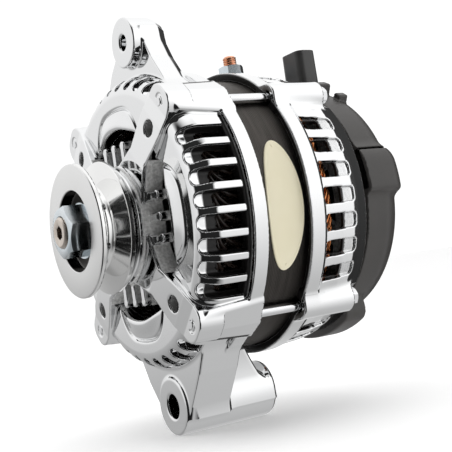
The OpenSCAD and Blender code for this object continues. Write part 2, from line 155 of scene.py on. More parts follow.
def polygon_field(px, py, points):
    """Exact distance to a closed outline."""
    best = np.full(px.shape, 1e9, np.float32)
    inside = np.zeros(px.shape, bool)
    for (ax, ay), (bx, by) in zip(points, points[1:] + points[:1]):
        ex, ey = bx - ax, by - ay
        wx, wy = px - ax, py - ay
        t = np.clip((wx * ex + wy * ey) / (ex * ex + ey * ey), 0, 1)
        best = np.minimum(best, (wx - ex * t) ** 2 + (wy - ey * t) ** 2)
        crosses = (ay > py) != (by > py)
        if ey:
            inside ^= crosses & (px < ex * (py - ay) / ey + ax)
    best = np.sqrt(best)
    return np.where(inside, -best, best)


def wrap(angle, centre, pitch, count):
    """Angle from the nearest of a row of count features spread about centre."""
    a = (angle - centre + pi) % (2 * pi) - pi
    half = (count - 1) / 2
    index = np.clip(np.round(a / pitch + half), 0, count - 1) - half
    return a - index * pitch


class Point:
    """A batch of places, with the polar and folded coordinates that the fields share."""

    def __init__(self, x, y, z):
        self.x, self.y, self.z = x, y, z
        self.r = np.hypot(x, z)
        self.angle = np.arctan2(z, x)
        a, c = np.abs(x), np.abs(z)
        self.along = (a + c) / sqrt(2)
        self.across = np.abs(a - c) / sqrt(2)

    def off(self, x, z):
        """Distance from an axis parallel to the rotor's."""
        return np.hypot(self.x - x, self.z - z)

    def corner(self, r):
        """Distance from the nearest of four such axes, at radius r on the spoke diagonals."""
        return np.hypot(self.along - r, self.across)


def field_mesh(name, field, low, high, step, slack=0.35):
    """Meshes a field's zero surface, then sets the points and the shading normals from the field itself."""
    low = np.array(low, float)
    shape = [int(ceil((b - a) / step)) + 1 for a, b in zip(low, high)]
    ys = (low[1] + step * np.arange(shape[1])).astype(np.float32)
    zs = (low[2] + step * np.arange(shape[2])).astype(np.float32)
    values = np.empty(shape, np.float32)

    def slab(i):
        stop = min(i + 8, shape[0])
        xs = (low[0] + step * np.arange(i, stop)).astype(np.float32)
        x, y, z = np.meshgrid(xs, ys, zs, indexing="ij")
        values[i:stop] = field(Point(x, y, z))

    with ThreadPoolExecutor(4) as pool:
        list(pool.map(slab, range(0, shape[0], 8)))
    grid = vdb.FloatGrid(3 * step)
    grid.copyFromArray(np.clip(values, -3 * step, 3 * step))
    points, quads = grid.convertToQuads(isovalue=0.0)
    points = points.astype(float) * step + low

    def at(p):
        return field(Point(p[:, 0], p[:, 1], p[:, 2])).astype(float)

    def slope(p, eps):
        columns = []
        for axis in range(3):
            shift = np.zeros(3)
            shift[axis] = eps
            columns.append((at(p + shift) - at(p - shift)) / (2 * eps))
        return np.stack(columns, 1)

    for _ in range(2):
        g = slope(points, 0.1)
        move = at(points)[:, None] * g / np.maximum((g * g).sum(1), 0.25)[:, None]
        length = np.linalg.norm(move, axis=1)
        points -= move * np.minimum(1.0, 0.4 * step / np.maximum(length, 1e-9))[:, None]
    normals = slope(points, slack)
    normals /= np.maximum(np.linalg.norm(normals, axis=1), 1e-9)[:, None]
    a, b, c = (points[quads[:, i]] for i in range(3))
    facing = np.einsum("ij,ij->i", np.cross(b - a, c - a), normals[quads[:, 0]])
    if np.median(facing) < 0:
        quads = quads[:, ::-1]
    print(name, "points", len(points), "quads", len(quads))
    return mesh_object(name, points, quads, normals)


# ------------------------ mesh tools

def mesh_object(name, points, faces, normals=None, smooth=True):
    """A new object from points in millimetres."""
    mesh = bpy.data.meshes.new(name)
    mesh.from_pydata((np.asarray(points) * MM).tolist(), [], [list(map(int, f)) for f in faces])
    mesh.update()
    obj = bpy.data.objects.new(name, mesh)
    bpy.context.scene.collection.objects.link(obj)
    if smooth:
        mesh.polygons.foreach_set("use_smooth", [True] * len(mesh.polygons))
    if normals is not None:
        mesh.normals_split_custom_set_from_vertices(np.asarray(normals).tolist())
    return obj


def tidy(obj, sharp=32.0):
    """Joins coinciding points, turns faces outwards and keeps edges above an angle crisp."""
    bm = bmesh.new()
    bm.from_mesh(obj.data)
    bmesh.ops.remove_doubles(bm, verts=bm.verts, dist=2e-6)
    bmesh.ops.dissolve_degenerate(bm, edges=bm.edges, dist=1e-7)
    bmesh.ops.recalc_face_normals(bm, faces=bm.faces)
    bm.to_mesh(obj.data)
    bm.free()
    obj.data.set_sharp_from_angle(angle=radians(sharp))
    return obj


class Parts:
    """Collects points and faces of several closed shapes for one mesh."""

    def __init__(self):
        self.points = []
        self.faces = []

    def add(self, points, faces):
        base = len(self.points)
        self.points.extend(map(tuple, points))
        self.faces.extend([base + i for i in f] for f in faces)

    def sections(self, rows, around=True):
        """Skins closed loops of equal length; they join round, or the first and last are capped."""
        rows = [np.asarray(row, float) for row in rows]
        n, m = len(rows), len(rows[0])
        faces = []
        for i in range(n if around else n - 1):
            a, b = i * m, ((i + 1) % n) * m
            for j in range(m):
                k = (j + 1) % m
                faces.append((a + j, a + k, b + k, b + j))
        if not around:
            faces.append(tuple(reversed(range(m))))
            faces.append(tuple((n - 1) * m + j for j in range(m)))
        self.add(np.concatenate(rows), faces)

    def turned(self, profile, count=96, centre=(0, 0), radius=None, axis="y"):
        """Turns a closed profile of (radius, position) points, which radius(angle, r, t) may vary."""
        rows = []
        for i in range(count):
            angle = 2 * pi * i / count
            row = []
            for r, t in profile:
                if radius:
                    r, t = radius(angle, r, t)
                u, v = r * cos(angle), r * sin(angle)
                place = (u, t, v) if axis == "y" else (u, v, t)
                row.append(place)
            rows.append(np.array(row) + ((centre[0], 0, centre[1]) if axis == "y" else (*centre, 0)))
        self.sections(rows)

    def tube(self, path, radius, sides=8):
        """A round wire along a path, capped at its ends."""
        path = np.asarray(path, float)
        tangent = np.gradient(path, axis=0)
        tangent /= np.linalg.norm(tangent, axis=1)[:, None]
        side = np.cross(tangent[0], (0.3, 0.5, 0.8))
        rows = []
        for point, t in zip(path, tangent):
            side = side - t * np.dot(side, t)
            side /= np.linalg.norm(side)
            up = np.cross(t, side)
            angles = 2 * pi * np.arange(sides) / sides
            rows.append(point + radius * (np.outer(np.cos(angles), side) + np.outer(np.sin(angles), up)))
        self.sections(rows, around=False)

    def build(self, name, sharp=32.0):
        return tidy(mesh_object(name, self.points, self.faces), sharp)


def bevelled(points, size):
    """Replaces each corner of a closed profile by a short chamfer."""
    points = [np.array(p, float) for p in points]
    out = []
    for before, here, after in zip(points[-1:] + points[:-1], points, points[1:] + points[:1]):
        if here[0] < 1e-6:
            out.append(tuple(here))
            continue
        for other in (before, after):
            step = other - here
            length = np.linalg.norm(step)
            out.append(tuple(here + step * min(size / length, 0.4)))
    return out


def ring(r0, r1, t0, t1, bevel):
    return bevelled([(r0, t0), (r1, t0), (r1, t1), (r0, t1)], bevel)


def hex_radius(angle, flats, turn):
    return flats / 2 / cos((angle - turn) % (pi / 3) - pi / 6)


def hex_profile(flats, bore, t0, t1, turn, bevel0, bevel1):
    """A chamfered hexagon with a bore; the ends flagged keep the usual turned corners."""
    inner = flats / 2 * 0.97
    lip = 0.5
    profile = [(bore + lip, t0), (inner, t0), (1e3, t0), (1e3, t1), (inner, t1), (bore + lip, t1),
               (bore, t1 - lip), (bore, t0 + lip)]

    def radius(angle, r, t):
        if r < 1e2:
            return r, t
        r = hex_radius(angle, flats, turn)
        drop = (r - inner) * 0.55
        if t == t0 and bevel0:
            return r, t0 + drop
        if t == t1 and bevel1:
            return r, t1 - drop
        return r, t
    return profile, radius


def thread(start, end, pitch, depth):
    """Radius rule that cuts a screw thread between two positions."""
    def radius(angle, r, t):
        if not start < t < end:
            return r, t
        turn = (t / pitch - angle / (2 * pi)) % 1.0
        return r - depth * (1 - abs(2 * turn - 1)), t
    return radius


def place(obj, node, material, slot, body="alternator_body"):
    """Gives a piece its material and its body, and hides the CAD node that it stands for. The slot name is
    not used.
    """
    obj.data.materials.clear()
    obj.data.materials.append(material)
    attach(obj, body)
    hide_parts(node)


# ------------------------ materials

class Signal:
    """A value in a node tree; arithmetic with it adds nodes."""

    def __init__(self, tree, socket):
        self.tree, self.socket = tree, socket

    def into(self, socket):
        self.tree.links.new(self.socket, socket)

    def join(self, operation, a, b=None):
        node = self.tree.nodes.new("ShaderNodeMath")
        node.operation = operation
        for socket, value in zip(node.inputs, (a, b)):
            if isinstance(value, Signal):
                value.into(socket)
            elif value is not None:
                socket.default_value = value
        return Signal(self.tree, node.outputs[0])

    def __add__(self, other):
        return self.join("ADD", self, other)

    def __sub__(self, other):
        return self.join("SUBTRACT", self, other)

    def __rsub__(self, other):
        return self.join("SUBTRACT", other, self)

    def __mul__(self, other):
        return self.join("MULTIPLY", self, other)

    def __truediv__(self, other):
        return self.join("DIVIDE", self, other)

    def __pow__(self, other):
        return self.join("POWER", self, other)

    def __abs__(self):
        return self.join("ABSOLUTE", self)

    def ramp(self, low, high, a=0.35, b=0.65):
        """Maps the span from a to b onto the span from low to high."""
        node = self.tree.nodes.new("ShaderNodeMapRange")
        for name, value in (("From Min", a), ("From Max", b), ("To Min", low), ("To Max", high)):
            node.inputs[name].default_value = value
        self.into(node.inputs["Value"])
        return Signal(self.tree, node.outputs["Result"])

    def below(self, limit, soft=0.4):
        """One under a limit in millimetres, nought above it."""
        return self.ramp(1.0, 0.0, (limit - soft) * MM, (limit + soft) * MM)

    def above(self, limit, soft=0.4):
        return self.ramp(0.0, 1.0, (limit - soft) * MM, (limit + soft) * MM)


def most(first, *others):
    for other in others:
        first = first.join("MAXIMUM", first, other)
    return first


def least(a, b):
    return a.join("MINIMUM", a, b)


def hypot(a, b):
    square = a * a + b * b
    return square.join("SQRT", square)


def mix(factor, a, b):
    """Blends two colours, each a fixed tone or another signal."""
    node = factor.tree.nodes.new("ShaderNodeMix")
    node.data_type = "RGBA"
    for name, value in (("A", a), ("B", b)):
        if isinstance(value, Signal):
            value.into(node.inputs[name])
        else:
            node.inputs[name].default_value = (*value, 1)
    factor.into(node.inputs["Factor"])
    return Signal(factor.tree, node.outputs["Result"])


def coords(tree, stretch=(1, 1, 1)):
    """Object coordinates, stretched to lengthen a grain."""
    source = tree.nodes.new("ShaderNodeTexCoord")
    mapping = tree.nodes.new("ShaderNodeMapping")
    mapping.inputs["Scale"].default_value = stretch
    tree.links.new(source.outputs["Object"], mapping.inputs["Vector"])
    return mapping.outputs["Vector"]


def noise(tree, scale, detail=3.0, stretch=(1, 1, 1)):
    node = tree.nodes.new("ShaderNodeTexNoise")
    node.inputs["Scale"].default_value = scale
    node.inputs["Detail"].default_value = detail
    tree.links.new(coords(tree, stretch), node.inputs["Vector"])
    return Signal(tree, node.outputs["Fac"])


def bump(shader, height, strength, distance=0.0002):
    node = height.tree.nodes.new("ShaderNodeBump")
    node.inputs["Strength"].default_value = strength
    node.inputs["Distance"].default_value = distance
    height.into(node.inputs["Height"])
    height.tree.links.new(node.outputs["Normal"], shader.inputs["Normal"])


def tint(shader, source, dark, light):
    """Base colour between two tones, by a noise value."""
    mix(source.ramp(0.0, 1.0), dark, light).into(shader.inputs["Base Color"])


def material(name, build):
    m = bpy.data.materials.new(name)
    m.use_nodes = True
    build(m.node_tree, m.node_tree.nodes["Principled BSDF"])
    return m


def plastic(name, dark, light, rough, spread, scale=80.0, grain=0.0, grain_scale=2500.0,
            stretch=(1, 1, 1), metallic=0.0):
    """Two close tones and two roughnesses in patches of one size, with a finer grain raised on them."""
    def build(tree, shader):
        shader.inputs["Metallic"].default_value = metallic
        value = noise(tree, scale, stretch=stretch)
        tint(shader, value, dark, light)
        value.ramp(rough, rough + spread).into(shader.inputs["Roughness"])
        if grain:
            bump(shader, noise(tree, grain_scale, 2.0, stretch), grain)
    return material(name, build)


def metal(name, dark, light, rough, spread, scale=60.0, grain=0.0, stretch=(1, 1, 1)):
    return plastic(name, dark, light, rough, spread, scale, grain, 900.0, stretch, 1.0)


def axes(tree):
    split = tree.nodes.new("ShaderNodeSeparateXYZ")
    tree.links.new(coords(tree), split.inputs[0])
    return [Signal(tree, output) for output in split.outputs]


def polar(tree):
    """Distance from the rotor axis, place along it, and places along and across the spoke diagonals."""
    x, y, z = axes(tree)
    a, c = abs(x), abs(z)
    return hypot(x, z), y, (a + c) * sqrt(0.5), (a - c) * sqrt(0.5)


def plated(name, raw_areas, painted_shade_areas, raw_tones):
    """Mirror plating over a casting, with the areas the polisher does not reach left grey and rough, and
    painted shade over the deep places.
    """
    def build(tree, shader):
        raw = raw_areas(tree)
        haze = noise(tree, 22.0, 2.0)
        grit = noise(tree, 700.0, 3.0)
        colour = mix(raw, PLATE_TONE, mix(grit.ramp(0.0, 1.0), *raw_tones))
        # Painted shade: the deep places are blended towards a near-black tone.
        shadow = painted_shade_areas(tree)
        mix(shadow, colour, SHADOW_TONE).into(shader.inputs["Base Color"])
        raw = most(raw, shadow)
        raw.ramp(1.0, 0.1, 0.0, 1.0).into(shader.inputs["Metallic"])
        (haze.ramp(0.03, 0.075) + raw * 0.4).into(shader.inputs["Roughness"])
        bump(shader, grit * raw, 0.5, 0.0003)
    return material(name, build)


def tapped_holes(tree, radius, soft):
    """The four tapped spoke holes, below the face of the spoke."""
    _, y, along, across = polar(tree)
    return hypot(along - TAP_RING_R * MM, across).below(radius, soft) * y.above(19.6, 0.3)


def front_raw(tree):
    r, y, _, _ = polar(tree)
    bowl = r.below(48.5) * y.above(17.8, 0.6)
    wall = r.below(31.2) * y.above(14.6, 0.6)
    # The little hub ribs are polished on their backs.
    x, _, z = axes(tree)
    sideways = least(abs(x), abs(z))
    offset = least(sideways, abs(sideways - HUB_RIB_PITCH * MM))
    rib = offset.below(2.6, 0.3) * r.above(31.4) * y.below(22.5, 1.0)
    return most(most(bowl, wall) * (1.0 - rib), tapped_holes(tree, 4.6, 0.1) * 0.8)


def front_painted_shade(tree):
    """Painted shade in the drum, slots, groove before the rim and other deep places; painted dark reflection
    on pad edges.
    """
    r, y, along, across = polar(tree)
    # Painted shade inside the drum.
    inside = r.below(69.7) * y.above(27.2)
    # Painted shade, at about half strength, in the tapped holes.
    tap = tapped_holes(tree, 4.4, 0.1) * 0.55
    # A painted dark reflection along the edge of each pad that faces the ear or the foot.
    edge = across + (PAD_HALF - PAD_SPLAY * PAD_Y) * MM + y * PAD_SPLAY
    edge = abs(edge - 2.2 * MM).below(1.3, 0.3) * along.above(76.5) * y.above(29.0, 2.0) * y.below(55.0, 1.0)
    # Painted shade at the bottom of the groove before the rim.
    groove = r.below(76.6) * y.above(46.3) * y.below(48.6)
    # Painted shade by depth under the rounded shoulder, which is only open to view in the slots.
    u = most(r - SHOULDER_R * MM, 0.0) * (1 / ((DRUM_R - SHOULDER_R) * MM))
    v = most(SHOULDER_Y * MM - y, 0.0) * (1 / ((SHOULDER_Y - FACE_Y) * MM))
    slots = hypot(u, v).ramp(1.0, 0.0, 0.81, 0.87) * r.above(67.5) * y.above(27.4)
    return most(inside, tap, edge, groove, slots)


def rear_painted_shade(tree):
    """Painted shade inside the ring and at the ends of the vents, and a painted dark reflection on the lip
    that faces the stator.
    """
    r, y, _, _ = polar(tree)
    return most(r.below(72.8) * y.below(113.0), r.below(77.4) * y.below(83.9))


def rear_raw(tree):
    r, y, _, _ = polar(tree)
    pocket = r.below(73.8) * y.above(92.5) * y.below(111.5)
    return most(r.below(70.5), pocket * 0.25)


def pulley_finish(tree, shader):
    """Satin turned front flange, polished groove, and painted shade in the recess inside the front."""
    r, y, _, _ = polar(tree)
    front = y.below(-8.7, 0.1)
    painted_recess_shade = r.below(20.9, 0.1) * y.below(0.0) * y.above(-8.8, 0.1)
    shader.inputs["Metallic"].default_value = 1.0
    # Painted shade: the recess is coloured dark.
    mix(painted_recess_shade, (0.85, 0.85, 0.845), (0.17, 0.165, 0.16)).into(shader.inputs["Base Color"])
    rough = noise(tree, 25.0, 2.0).ramp(0.05, 0.09) + front * 0.26
    rough.into(shader.inputs["Roughness"])
    bump(shader, noise(tree, 1500.0, 2.0) * front, 0.05)


CHROME = plated("front_plating", front_raw, front_painted_shade, ((0.42, 0.42, 0.415), (0.68, 0.68, 0.67)))
REAR_CHROME = plated("rear_plating", rear_raw, rear_painted_shade, ((0.3, 0.3, 0.3), (0.55, 0.55, 0.55)))
PULLEY = material("pulley_metal", pulley_finish)
ZINC = metal("bright_zinc", (0.62, 0.69, 0.73), (0.76, 0.8, 0.83), 0.12, 0.12, 90.0, 0.05)
BOLT = metal("bolt_zinc", (0.78, 0.79, 0.8), (0.86, 0.86, 0.87), 0.1, 0.08, 90.0, 0.02)
STEEL = metal("turned_steel", (0.55, 0.56, 0.58), (0.68, 0.69, 0.70), 0.22, 0.12, 60.0, 0.08, (1, 8, 1))
SHAFT = metal("shaft_steel", (0.6, 0.53, 0.47), (0.76, 0.69, 0.62), 0.25, 0.12, 160.0, 0.1)
LAMINATED = metal("stator_steel", (0.085, 0.078, 0.072), (0.125, 0.115, 0.106), 0.42, 0.12, 35.0, 0.12,
                  (1, 10, 1))
COPPER = metal("bare_copper", (0.80, 0.36, 0.2), (0.92, 0.5, 0.33), 0.2, 0.15, 120.0, 0.05)
WIRE = metal("enamelled_copper", (0.6, 0.2, 0.07), (0.95, 0.4, 0.16), 0.18, 0.15, 60.0, 0.05)
ALUMINIUM = metal("plain_aluminium", (0.55, 0.56, 0.58), (0.68, 0.69, 0.7), 0.35, 0.15, 60.0, 0.1)
IRON = metal("varnished_iron", (0.05, 0.05, 0.05), (0.1, 0.1, 0.1), 0.35, 0.2, 50.0, 0.15)
BRASS = metal("cage_brass", (0.55, 0.42, 0.16), (0.68, 0.54, 0.24), 0.3, 0.15, 80.0, 0.05)
TIN = metal("tinned_contacts", (0.7, 0.7, 0.67), (0.8, 0.8, 0.77), 0.25, 0.12, 200.0, 0.05)
SPRING = metal("spring_wire", (0.5, 0.5, 0.48), (0.64, 0.64, 0.62), 0.25, 0.12, 200.0, 0.05)
VARNISH = plastic("dark_varnish", (0.012, 0.009, 0.008), (0.03, 0.02, 0.016), 0.15, 0.15, 70.0, 0.15, 500.0)
COVER = plastic("cover_grey", (0.05, 0.047, 0.045), (0.064, 0.06, 0.057), 0.36, 0.1, 40.0, 0.1, 1800.0)
SOCKET_GREY = plastic("socket_grey", (0.036, 0.035, 0.035), (0.048, 0.047, 0.046), 0.3, 0.1, 60.0, 0.08)
BLACK = plastic("black_moulding", (0.01, 0.01, 0.011), (0.02, 0.02, 0.021), 0.4, 0.15, 60.0, 0.15)
CARBON = plastic("pressed_carbon", (0.03, 0.03, 0.032), (0.055, 0.055, 0.058), 0.6, 0.2, 300.0, 0.3)
SLEEVE = plastic("brown_sleeve", (0.05, 0.015, 0.01), (0.08, 0.025, 0.015), 0.35, 0.15, 80.0, 0.1)
ENAMEL = plastic("badge_enamel", (0.82, 0.76, 0.55), (0.86, 0.8, 0.6), 0.28, 0.1, 30.0, 0.03)

CARRIED = {
    "rear_insulating_plate": BLACK, "output_strap": COPPER, "plug_pins": TIN, "voltage_regulator": BLACK,
    "rectifier_plate": ALUMINIUM, "diodes": STEEL, "brush_holder": BLACK, "inner_brush": CARBON,
    "outer_brush": CARBON, "front_outer_race": STEEL, "front_inner_race": STEEL, "front_balls": STEEL,
    "front_ball_cage": BRASS, "bearing_retainer": SPRING, "retainer_screws": ZINC, "rear_outer_race": STEEL,
    "rear_inner_race": STEEL, "rear_balls": STEEL, "rear_ball_cage": BRASS, "front_claw_pole": IRON,
    "rear_claw_pole": IRON, "field_coil": WIRE, "slip_ring_sleeve": SLEEVE, "slip_rings": COPPER}
for node_name, finish in CARRIED.items():
    slots = NODES[node_name].data.materials
    for index in range(len(slots)):
        slots[index] = finish


# ------------------------ front housing

def shoulder(r, y, r0, y0, r1, y1):
    """A drum closed at the front by a quarter ellipse from (r0, y0) on its face to (r1, y1) on its side."""
    a, b = r1 - r0, y1 - y0
    u, v = np.maximum(r - r0, 0) / a, np.maximum(y1 - y, 0) / b
    q = np.maximum(np.hypot(u, v), 1e-4)
    slope = np.hypot(u / a, v / b) / q
    return np.where(q > 0.02, (q - 1) / np.maximum(slope, 1 / max(a, b)), np.maximum(r - r1, y0 - y))


def front_shell(p):
    """Bowls between the spokes, drum and rim."""
    spoke_side = (7.5 + 2.05 * (p.along - 45.7) - p.across) / 2.28
    bowl = smax(p.r - 60.7, spoke_side, 9.0)
    # A fine groove runs round a cushion that swells towards the window.
    sink = 1.5 * np.exp(-(bowl / 0.8) ** 2) - 2.3 * smoothstep(-0.6, -9.5, bowl)
    body = shoulder(p.r, p.y - sink, SHOULDER_R, FACE_Y, DRUM_R, SHOULDER_Y)
    body = np.maximum(body, p.y - 50)
    rim = rounded(p.r - RIM_R, between(p.y, 48.2, FRONT_Y), 0.8)
    body = np.minimum(body, rim)
    # An undercut sets the rim off from the ribs.
    step = smax(between(p.y, 46.5, 48.3), 75.2 - p.r, 1.0)
    return cut(body, step, 0.5)


def front_spokes(p):
    """Four flat spokes that slope back to round bolt bosses."""
    s = p.along
    half = np.interp(s, SPOKE_AT, SPOKE_HALF)
    top = SPOKE_Y + np.clip((s - 42.0) * 0.13, 0.0, 3.1) + np.clip((s - 66.0) * 0.2, 0.0, 1.4)
    tab = rounded(p.across - half, s - 83.4, 7.5)
    bar = smax(tab, top - p.y, 0.8)
    # The bolt end is staked: a shallow arc pressed round it.
    stake = np.hypot(np.hypot(s - 76.6, p.across) - 2.9, p.y - 20.3) - 0.75
    stake = np.maximum(stake, 76.0 - s)
    return np.maximum(cut(bar, stake, 0.3), p.y - 34)


def front_pads(p):
    """Flat-sided pads that carry the bosses back to the rim."""
    side = p.across - PAD_HALF - PAD_SPLAY * (p.y - PAD_Y)
    pad = rounded(side, p.along + 0.24 * p.across - 82.2, 2.5)
    front = 22.6 + 0.75 * np.maximum(p.across - 7.0, 0)
    pad = smax(pad, front - p.y, 1.6)
    return np.maximum(pad, p.y - FRONT_Y)


def front_ear(p):
    x, z = EAR
    outline = polygon_field(p.x, p.z, [
        (x - 12.5, z + 4.5), (-22, 86), (-40, 62), (-30, 50), (34, 50), (44, 60), (38.1, 67.7),
        (32.7, 75.2), (26.2, 83.7), (x + 12.2, z + 0.5), (x + 12.0, z + 6)])
    back = 49.6 + 6.6 * smoothstep(69, 62, p.z)
    # The rear edge falls away in a broad chamfer.
    plate = smax(outline, 34.4 - p.y, 1.0)
    plate = smax(plate, smax(outline * 0.891 + (p.y - back + 5.4) * 0.454, p.y - back, 1.0), 0.8)
    boss = p.off(x, z) - EAR_R
    slant = boss * 0.891 + (p.y - 49.4 + 5.4) * 0.454
    boss = smax(smax(boss, between(p.y, 29.2, 49.4), 1.0), slant, 0.8)
    return smin(plate, boss, 1.4)


def front_foot(p):
    outline = polygon_field(p.x, p.z, [
        (-42, -56), (-33, -73.5), (-26.5, -86), (-18, -97), (-15, -104), (15, -104), (18.4, -97.1),
        (25.4, -87.7), (30.8, -80), (35.1, -72.5), (44, -56)])
    web = smax(outline, between(p.y, 33.4, FRONT_Y), 1.2)
    # The middle runs on behind the rim to a straight slanted rear edge.
    edge = (p.y - 72.5) * 0.85 + (p.z + 75.7) * 0.527
    side = np.abs(p.x) - 13.8 - 0.0096 * np.maximum(p.z + 96, 0) ** 2
    rib = smax(side, edge, 3.0)
    rib = np.maximum(rib, np.maximum(40 - p.y, np.maximum(-102 - p.z, p.z + 60)))
    boss = rounded(p.off(0, FOOT_Z) - FOOT_R, p.y - FOOT_Y[1], 3.2)
    boss = smax(boss, FOOT_Y[0] - p.y, 1.4)
    return smin(smin(web, rib, 5.0), boss, 2.0)


def front_hub(p):
    body = rounded(p.r - HUB_R, 11.5 - p.y, 1.4)
    outward = np.maximum(np.abs(p.x), np.abs(p.z))
    sideways = np.minimum(np.abs(p.x), np.abs(p.z))
    offset = np.minimum(sideways, np.abs(sideways - HUB_RIB_PITCH))
    ribs = np.maximum(offset - 1.9, outward - 40.5)
    tips = np.hypot(offset, outward - 40.3) - 2.4
    ribs = smax(np.minimum(ribs, tips), np.maximum(18.5 - p.y, p.along - 40), 0.8)
    return np.maximum(smin(body, ribs, 0.9), p.y - 29.5)


def front_slots(p):
    """Eight slots on each side and shorter ones above and below."""
    slots = None
    for centre, half_w, rear, count in ((-2, SLOT_HALF_W, 46.8, 8), (178, SLOT_HALF_W, 46.8, 8),
                                        (90, 3.2, 33.2, 8), (270, 3.2, 33.2, 8)):
        t = np.abs(p.r * np.sin(wrap(p.angle, radians(centre), radians(SLOT_PITCH), count)))
        one = rounded(t - half_w, SLOT_FRONT - p.y, half_w - 0.1)
        one = smax(smax(one, 69.8 - p.r, 2.4), p.y - rear, 1.0)
        far = np.cos(p.angle - radians(centre)) < 0.5
        one = np.where(far, 50.0, one)
        slots = one if slots is None else np.minimum(slots, one)
    return slots


def build_front_housing():
    def field(p):
        shell = cut(front_shell(p), front_slots(p), 0.5)
        shell = smin(shell, front_pads(p), 1.0)
        shell = smin(shell, smin(front_ear(p), front_foot(p), 2.0), 1.8)
        shell = cut(shell, p.r - WINDOW_R, 3.0)
        shell = smin(shell, front_spokes(p), 0.9)
        shell = smin(shell, front_hub(p), 1.6)
        cavity = shoulder(p.r, p.y, 60, 27.6, CAVITY_R, 36)
        cavity = np.maximum(cavity, 30.0 - p.r)
        shell = np.maximum(shell, -cavity)
        shell = np.maximum(shell, -np.maximum(p.r - (CORE_R + 0.2), CORE_Y0 - p.y))
        # Bearing pocket, shaft hole, bolt holes, tapped holes, ear hole and pivot bore.
        shell = cut(shell, np.maximum(p.r - 23.6, 13.5 - p.y), 0.8)
        shell = cut(shell, p.r - 12.2, 0.8)
        bolt = np.maximum(p.corner(BOLT_RING_R) - 2.9, 24 - p.y)
        shell = cut(shell, bolt, 0.8)
        tap = np.maximum(p.corner(TAP_RING_R) - 4.2, p.y - 27)
        shell = cut(shell, tap, 0.8)
        shell = cut(shell, p.off(*EAR) - 4.0, 1.6)
        shell = cut(shell, p.off(0, FOOT_Z) - FOOT_BORE_R, 1.6)
        return shell

    step = 0.6
    obj = field_mesh("front_casting", field, (-82, 8, -115), (82, 92, 112), step)
    place(obj, "front_housing", CHROME, "polished_metal")


# ------------------------ rear housing

def rear_bands(p, half_w, y0, y1, floor_r, corner):
    """The row of openings on each side, below, and above beside the output stud."""
    holes = None
    for centre, count in ((-1, 7), (179, 7), (269, 7), (90, 8)):
        t = np.abs(p.r * np.sin(wrap(p.angle, radians(centre), radians(VENT_PITCH), count)))
        one = rounded(t - half_w, between(p.y, y0, y1), corner)
        one = smax(one, floor_r - p.r, 0.8)
        one = np.where(np.cos(p.angle - radians(centre)) < 0.7, 50.0, one)
        holes = one if holes is None else np.minimum(holes, one)
    blank = np.hypot(p.x - STUD[0], (p.y - STUD[1]) * 0.5) < 13.0
    return np.where(blank & (p.z > 0), 50.0, holes)


def build_rear_housing():
    profile = [(CORE_R + 0.2, BACK_Y + 1.5), (76.4, BACK_Y + 0.1), (77.2, BACK_Y),
               (REAR_R - 0.2, BACK_Y + 0.3), (REAR_R, BACK_Y + 1.0), (REAR_R, 90.5), (77.1, 92.2),
               (76.4, 98), (76.0, 104), (74.8, 111.5), (73.4, 116), (71.6, 120.5), (71.0, 122.4),
               (70.2, 123.2), (66, 123.2), (66, 119.6), (20, 119.6), (20, 114.6), (67, 114.6),
               (70.4, 108), (70.4, 88), (CORE_R + 0.2, 88)]
    hub = [(17.6, 104), (22, 104), (24, 113), (24, 120), (10, 120), (10, 115.1), (17.6, 115.1)]

    def field(p):
        shell = polygon_field(p.r, p.y, profile)
        spacing = np.abs(p.r * np.sin(wrap(p.angle, 0, pi / 4, 8)))
        opening = rounded(2.0 + 0.05 * p.r - spacing, np.abs(p.r - 44) - 11, 2.5)
        turn = np.maximum(opening, between(p.y, 112, 122))
        shell = cut(shell, turn, 0.8)
        shell = cut(shell, rear_bands(p, VENT_HALF_W, 92.4, 106.0, 66, 1.5), 0.5)
        shell = cut(shell, rear_bands(p, VENT_HALF_W - 0.5, 103, 112.8, 73.2, 2.0), 0.7)
        boss = p.corner(BOLT_RING_R) - 7.4
        boss = np.minimum(boss, np.maximum(p.across - 7.4, np.abs(p.along - 71) - 5.5))
        boss = smax(boss, between(p.y, BACK_Y, 114.4), 1.0)
        boss = np.maximum(boss, CORE_R + 0.2 - p.r)
        shell = smin(shell, boss, 4.0)
        shell = smin(shell, polygon_field(p.r, p.y, hub), 1.0)
        for x, z in COVER_NUTS:
            stud = np.maximum(p.off(x, z) - 6, between(p.y, 114, 121))
            shell = smin(shell, stud, 1.0)
        pad = rounded(np.maximum(np.abs(p.x - STUD[0]) - 9, np.abs(p.y - STUD[1]) - 8), p.z - 78.5, 1.2)
        pad = np.maximum(pad, 71.5 - p.z)
        shell = smin(shell, pad, 3.0)
        shell = np.maximum(shell, BACK_Y - p.y)
        bolt = p.corner(BOLT_RING_R)
        shell = cut(shell, bolt - 3.1, 2.6)
        shell = cut(shell, np.maximum(bolt - 6.4, 114.4 - p.y), 0.7)
        shell = np.maximum(shell, -(np.maximum(np.hypot(p.x - STUD[0], p.y - STUD[1]) - 5.0, 60 - p.z)))
        for x, z in COVER_NUTS:
            shell = np.maximum(shell, 2.6 - p.off(x, z))
        return np.maximum(shell, 10.0 - p.r)

    step = 0.75
    obj = field_mesh("rear_casting", field, (-82, 79, -82), (82, 126, 84), step, 0.3)
    place(obj, "rear_housing", REAR_CHROME, "polished_metal")


# ------------------------ rear cover

